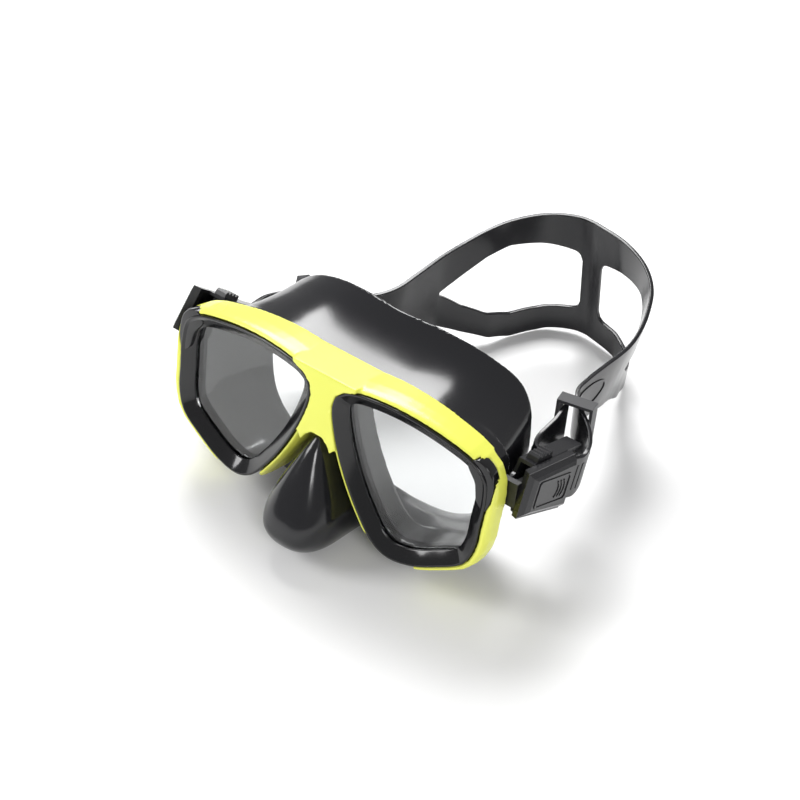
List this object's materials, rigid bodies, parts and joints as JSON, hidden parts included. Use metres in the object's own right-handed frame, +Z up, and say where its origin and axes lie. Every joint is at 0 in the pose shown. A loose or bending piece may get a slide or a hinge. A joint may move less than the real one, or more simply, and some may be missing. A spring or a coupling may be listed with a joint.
{
  "type": "diving mask",
  "caption": "Twin-lens diving mask: soft face skirt with nose pocket, rigid bright outer frame, swivel quick-adjust buckles and a split head strap.",
  "frame": {"origin": "middle of the footprint of the whole mask, on the surface it lies on", "axes": "+Z up; -Y the way the lenses face; +Y towards the strap; +X the wearer's left"},
  "size_m": [0.1776, 0.2008, 0.0849],
  "materials": {
    "silicone_skirt": "glossy moulded silicone",
    "silicone_strap": "glossy moulded silicone",
    "yellow_frame": "glossy lime yellow",
    "lens_glass": "clear tempered glass",
    "bezel_gloss": "polished black",
    "satin_black": "satin black",
    "pin_steel": "turned stainless",
    "spring_steel": "drawn wire",
    "button_black": "fine moulded texture",
    "keeper_charcoal": "soft charcoal",
    "roller_nylon": "smooth nylon",
    "pawl_black": "moulded nylon",
    "buckle_black": "semi-gloss black"
  },
  "bodies": {
    "frame": {"skirt": "silicone_skirt", "main_frame": "satin_black", "outer_frame": "yellow_frame", "lens_left": "lens_glass", "lens_right": "lens_glass", "lens_bezel_left": "bezel_gloss", "lens_bezel_right": "bezel_gloss", "buckle_lug_left": "satin_black", "buckle_lug_right": "satin_black", "swivel_pin_left": "pin_steel", "swivel_pin_right": "pin_steel"},
    "strap": {"head_strap": "silicone_strap", "buckle_base_left": "buckle_black", "buckle_base_right": "buckle_black", "buckle_cover_left": "buckle_black", "buckle_cover_right": "buckle_black", "button_spring_left": "spring_steel", "button_spring_right": "spring_steel", "pawl_pin_left": "pin_steel", "pawl_pin_right": "pin_steel", "roller_pin_left": "pin_steel", "roller_pin_right": "pin_steel", "strap_keeper_left": "keeper_charcoal", "strap_keeper_right": "keeper_charcoal"},
    "upper_button_left": {"release_button_upper_left": "button_black"},
    "lower_button_left": {"release_button_lower_left": "button_black"},
    "pawl_left": {"strap_pawl_left": "pawl_black"},
    "roller_left": {"strap_roller_left": "roller_nylon"},
    "upper_button_right": {"release_button_upper_right": "button_black"},
    "lower_button_right": {"release_button_lower_right": "button_black"},
    "pawl_right": {"strap_pawl_right": "pawl_black"},
    "roller_right": {"strap_roller_right": "roller_nylon"}
  },
  "joints": [
    {"name": "strap_swivel", "type": "hinge", "parent": "frame", "child": "strap", "pos_m": [0, -0.05152, 0.05556], "axis": [1, 0, 0], "range_deg": [0, 45]},
    {"name": "upper_button_press_left", "type": "slide", "parent": "strap", "child": "upper_button_left", "axis": [0, -0.3681, -0.9298], "range_m": [0, 0.001], "stiffness_N_per_m": 800, "deforming": ["button_spring_left"]},
    {"name": "lower_button_press_left", "type": "slide", "parent": "strap", "child": "lower_button_left", "axis": [0, 0.3681, 0.9298], "range_m": [0, 0.0016]},
    {"name": "pawl_turn_left", "type": "hinge", "parent": "strap", "child": "pawl_left", "pos_m": [0.0846, -0.04371, 0.05247], "axis": [0, 0.3681, 0.9298], "range_deg": [0, 15]},
    {"name": "roller_spin_left", "type": "hinge", "parent": "strap", "child": "roller_left", "pos_m": [0.0816, -0.03757, 0.05004], "axis": [0, 0.3681, 0.9298], "continuous": true},
    {"name": "upper_button_press_right", "type": "slide", "parent": "strap", "child": "upper_button_right", "axis": [0, -0.6896, -0.7242], "range_m": [0, 0.001], "stiffness_N_per_m": 800, "deforming": ["button_spring_right"]},
    {"name": "lower_button_press_right", "type": "slide", "parent": "strap", "child": "lower_button_right", "axis": [0, 0.6896, 0.7242], "range_m": [0, 0.0016]},
    {"name": "pawl_turn_right", "type": "hinge", "parent": "strap", "child": "pawl_right", "pos_m": [-0.0846, -0.04543, 0.04977], "axis": [0, 0.6896, 0.7242], "range_deg": [-15, 0]},
    {"name": "roller_spin_right", "type": "hinge", "parent": "strap", "child": "roller_right", "pos_m": [-0.0816, -0.04065, 0.04522], "axis": [0, 0.6896, 0.7242], "continuous": true}
  ],
  "couplings": [
    {"joint": "lower_button_press_left", "follows": "upper_button_press_left", "ratio": 1},
    {"joint": "pawl_turn_left", "follows": "upper_button_press_left", "rad_per_m": 160},
    {"joint": "lower_button_press_right", "follows": "upper_button_press_right", "ratio": 1},
    {"joint": "pawl_turn_right", "follows": "upper_button_press_right", "rad_per_m": -160}
  ]
}
